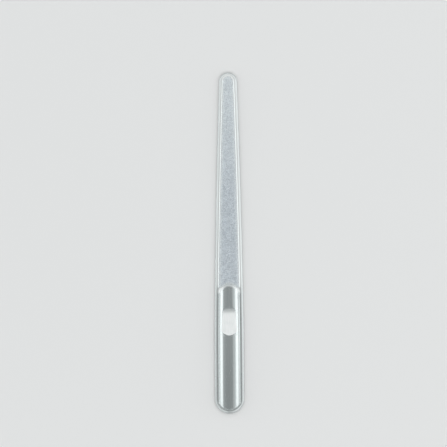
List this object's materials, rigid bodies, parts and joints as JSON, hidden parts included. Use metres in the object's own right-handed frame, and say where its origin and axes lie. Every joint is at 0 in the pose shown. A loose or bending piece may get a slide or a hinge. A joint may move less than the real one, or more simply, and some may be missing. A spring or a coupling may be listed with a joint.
{
  "type": "nail file",
  "caption": "Slim tapered metal nail file with sapphire abrasive on both blade faces and a half-round pressed handle with a thumb rest.",
  "frame": {"origin": "under the middle of the file's length and width, on the surface that its back face lies on", "axes": "+Y runs along the file to its tip, +Z out of the front face with the raised handle ridge, X across the file"},
  "size_m": [0.013, 0.152, 0.0035],
  "materials": {
    "polished_steel": "polished stainless steel with faint lengthwise polishing marks, satin in the thumb rest",
    "bond_metal": "dull plated metal that holds the grains",
    "sapphire_grains": "light grey crushed synthetic sapphire, rough and finely sparkling"
  },
  "bodies": {
    "root": {"steel_body": "polished_steel", "front_bond_coat": "bond_metal", "front_sapphire_grit": "sapphire_grains", "back_bond_coat": "bond_metal", "back_sapphire_grit": "sapphire_grains"}
  },
  "joints": []
}
